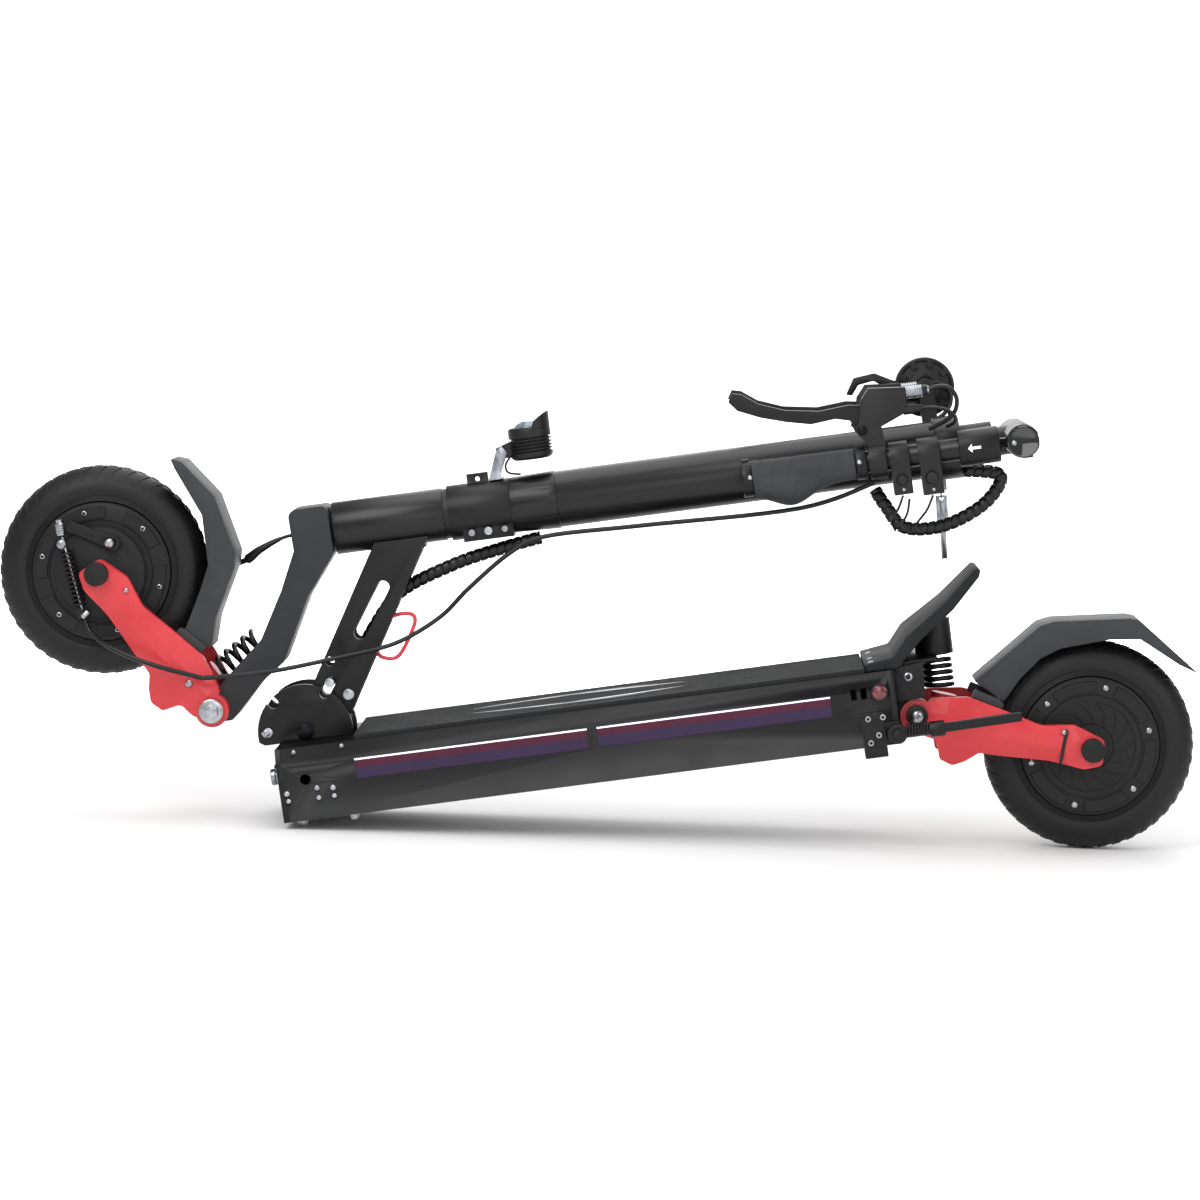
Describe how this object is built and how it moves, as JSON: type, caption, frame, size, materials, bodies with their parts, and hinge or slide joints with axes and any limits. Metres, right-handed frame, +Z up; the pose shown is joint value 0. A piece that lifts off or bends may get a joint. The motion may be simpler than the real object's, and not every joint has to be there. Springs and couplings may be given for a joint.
{
  "type": "electric kick scooter",
  "caption": "Folding electric kick scooter, folded: deck with battery, sprung swingarms, two hub-motor wheels, hinged stem with drop-down handlebars.",
  "frame": {"origin": "on the ground, under the middle of the folded scooter's box", "axes": "+X towards the rear wheel, +Y towards the scooter's right side, +Z up; the folded scooter lies on its rear tyre and the front nuts under the deck"},
  "size_m": [1.2352, 0.203, 0.4972],
  "materials": {
    "black_paint": "satin powder coat",
    "neck_paint": "satin powder coat",
    "red_paint": "satin powder coat",
    "hub_paint": "matt powder coat",
    "tyre_rubber": "moulded tread rubber",
    "mat_rubber": "ribbed rubber",
    "grip_rubber": "soft moulded rubber",
    "cable_rubber": "smooth cable sheath",
    "fender_plastic": "moulded nylon",
    "pod_plastic": "moulded ABS",
    "steel": "zinc-plated steel",
    "spring_steel": "black coated spring steel",
    "light_lens": "clear tinted acrylic over light strip",
    "reflector": "prismatic acrylic",
    "lamp_glass": "clear moulded lens",
    "cell_wrap": "heat-shrunk PVC wrap",
    "controller_case": "cast aluminium",
    "red_wire": "plastic-coated wire"
  },
  "bodies": {
    "deck": {"deck_shell": "black_paint", "deck_end_plates": "black_paint", "deck_mat": "mat_rubber", "side_lights": "light_lens", "side_reflectors": "reflector", "battery_pack": "cell_wrap", "controllers": "controller_case", "hinge_cheeks": "black_paint", "hinge_pin": "black_paint", "deck_fasteners": "steel", "charge_ports": "steel", "kick_plate": "fender_plastic", "rear_brackets": "black_paint", "rear_spring": "spring_steel", "kickstand_bracket": "black_paint"},
    "kickstand": {"kickstand": "black_paint"},
    "rear_arm": {"rear_swingarm": "red_paint", "rear_fender": "fender_plastic", "rear_axle_set": "hub_paint"},
    "rear_wheel": {"rear_tyre": "tyre_rubber", "rear_hub": "hub_paint"},
    "rear_brake": {"rear_brake_arm": "steel"},
    "arm": {"fold_arm": "black_paint", "head_tube": "black_paint", "arm_fasteners": "steel"},
    "lock": {"lock_pin": "steel", "lock_ring": "red_wire"},
    "steering": {"fork_neck": "neck_paint", "clamp_collar": "black_paint", "stem": "black_paint", "t_bar": "black_paint", "lamp_bracket": "steel", "front_spring": "spring_steel", "cables": "cable_rubber", "spiral_loom": "cable_rubber"},
    "lamp": {"lamp": "pod_plastic", "lamp_lens": "lamp_glass"},
    "front_arm": {"front_swingarm": "red_paint", "front_fender": "fender_plastic", "front_axle_set": "hub_paint"},
    "front_wheel": {"front_tyre": "tyre_rubber", "front_hub": "hub_paint"},
    "front_brake": {"front_brake_arm": "steel"},
    "left_bar": {"left_bar": "black_paint", "left_grip": "grip_rubber", "left_controls": "pod_plastic"},
    "left_sleeve": {"left_sleeve": "black_paint"},
    "left_lever": {"left_lever": "black_paint"},
    "horn_button": {"horn_button": "pod_plastic"},
    "light_button": {"light_button": "pod_plastic"},
    "right_bar": {"right_bar": "black_paint", "right_grip": "grip_rubber", "right_controls": "pod_plastic"},
    "right_sleeve": {"right_sleeve": "black_paint"},
    "right_lever": {"right_lever": "black_paint"},
    "throttle": {"throttle": "pod_plastic"},
    "power_button": {"power_button": "pod_plastic"},
    "mode_button": {"mode_button": "pod_plastic"},
    "key": {"key": "steel"},
    "spare_key": {"spare_key": "steel"}
  },
  "joints": [
    {"name": "stem_fold", "type": "hinge", "parent": "deck", "child": "arm", "pos_m": [-0.29509, 0.0065, 0.09363], "axis": [0, -1, 0], "range_deg": [0, 75]},
    {"name": "lock_slide", "type": "slide", "parent": "arm", "child": "lock", "axis": [-0.4142, 0, -0.9102], "range_m": [0, 0.0125]},
    {"name": "steering_turn", "type": "hinge", "parent": "arm", "child": "steering", "pos_m": [-0.15989, 0.0065, 0.32115], "axis": [0.9862, 0, 0.1656], "range_deg": [-35, 35], "deforming": ["cables", "spiral_loom"]},
    {"name": "lamp_tilt", "type": "hinge", "parent": "steering", "child": "lamp", "pos_m": [-0.1039, 0.0065, 0.38632], "axis": [0, -1, 0], "range_deg": [-6, 20]},
    {"name": "front_suspension", "type": "hinge", "parent": "steering", "child": "front_arm", "pos_m": [-0.38849, 0.0065, 0.11547], "axis": [0, 1, 0], "range_deg": [0, 7], "stiffness_Nm_per_rad": 300, "springref_deg": -8.59, "deforming": ["front_spring"]},
    {"name": "front_wheel_spin", "type": "hinge", "parent": "front_arm", "child": "front_wheel", "pos_m": [-0.50963, 0.0065, 0.25129], "axis": [0, 1, 0], "continuous": true},
    {"name": "front_brake_turn", "type": "hinge", "parent": "front_arm", "child": "front_brake", "pos_m": [-0.49656, -0.0335, 0.28171], "axis": [0, -1, 0], "range_deg": [0, 15]},
    {"name": "rear_suspension", "type": "hinge", "parent": "deck", "child": "rear_arm", "pos_m": [0.32991, 0.0065, 0.13669], "axis": [0, -1, 0], "range_deg": [0, 7], "stiffness_Nm_per_rad": 400, "springref_deg": -11.46, "deforming": ["rear_spring"]},
    {"name": "rear_wheel_spin", "type": "hinge", "parent": "rear_arm", "child": "rear_wheel", "pos_m": [0.50963, 0.0065, 0.108], "axis": [0, 1, 0], "continuous": true},
    {"name": "rear_brake_turn", "type": "hinge", "parent": "rear_arm", "child": "rear_brake", "pos_m": [0.52819, 0.0465, 0.13542], "axis": [0, 1, 0], "range_deg": [0, 15]},
    {"name": "kickstand_turn", "type": "hinge", "parent": "deck", "child": "kickstand", "pos_m": [0.30905, -0.0935, 0.12204], "axis": [0, 1, 0], "range_deg": [0, 95]},
    {"name": "left_bar_fold", "type": "hinge", "parent": "steering", "child": "left_bar", "pos_m": [0.42928, -0.05, 0.42056], "axis": [-0.1656, 0, 0.9862], "range_deg": [0, 90]},
    {"name": "left_sleeve_slide", "type": "slide", "parent": "left_bar", "child": "left_sleeve", "axis": [-0.9844, 0, -0.1759], "range_m": [0, 0.006]},
    {"name": "left_lever_pull", "type": "hinge", "parent": "left_bar", "child": "left_lever", "pos_m": [0.26298, -0.0455, 0.42462], "axis": [0, -1, 0], "range_deg": [0, 18], "stiffness_Nm_per_rad": 1.5, "springref_deg": -5.73},
    {"name": "right_bar_fold", "type": "hinge", "parent": "steering", "child": "right_bar", "pos_m": [0.42928, 0.063, 0.42056], "axis": [0.1656, 0, -0.9862], "range_deg": [0, 90]},
    {"name": "right_sleeve_slide", "type": "slide", "parent": "right_bar", "child": "right_sleeve", "axis": [-0.9844, 0, -0.1759], "range_m": [0, 0.006]},
    {"name": "right_lever_pull", "type": "hinge", "parent": "right_bar", "child": "right_lever", "pos_m": [0.26298, 0.0585, 0.42462], "axis": [0, -1, 0], "range_deg": [0, 18], "stiffness_Nm_per_rad": 1.5, "springref_deg": -5.73},
    {"name": "horn_press", "type": "slide", "parent": "left_bar", "child": "horn_button", "axis": [0, 1, 0], "range_m": [0, 0.0015], "stiffness_N_per_m": 600, "springref_m": -0.001},
    {"name": "light_press", "type": "slide", "parent": "left_bar", "child": "light_button", "axis": [0, 1, 0], "range_m": [0, 0.0015], "stiffness_N_per_m": 600, "springref_m": -0.001},
    {"name": "throttle_pull", "type": "hinge", "parent": "right_bar", "child": "throttle", "pos_m": [0.33073, 0.0705, 0.46618], "axis": [0, -1, 0], "range_deg": [0, 18], "stiffness_Nm_per_rad": 0.4, "springref_deg": -11.46},
    {"name": "power_press", "type": "slide", "parent": "right_bar", "child": "power_button", "axis": [0, -1, 0], "range_m": [0, 0.001], "stiffness_N_per_m": 600, "springref_m": -0.001},
    {"name": "mode_press", "type": "slide", "parent": "right_bar", "child": "mode_button", "axis": [0, -1, 0], "range_m": [0, 0.001], "stiffness_N_per_m": 600, "springref_m": -0.001},
    {"name": "key_turn", "type": "hinge", "parent": "right_bar", "child": "key", "pos_m": [0.34887, 0.0585, 0.37597], "axis": [0.1759, 0, -0.9844], "range_deg": [0, 60]},
    {"name": "spare_key_swing", "type": "hinge", "parent": "key", "child": "spare_key", "pos_m": [0.35081, 0.0585, 0.36514], "axis": [0, 1, 0], "range_deg": [-15, 15]}
  ],
  "couplings": [
    {"joint": "front_brake_turn", "follows": "left_lever_pull", "ratio": 0.75},
    {"joint": "rear_brake_turn", "follows": "right_lever_pull", "ratio": 0.75}
  ]
}
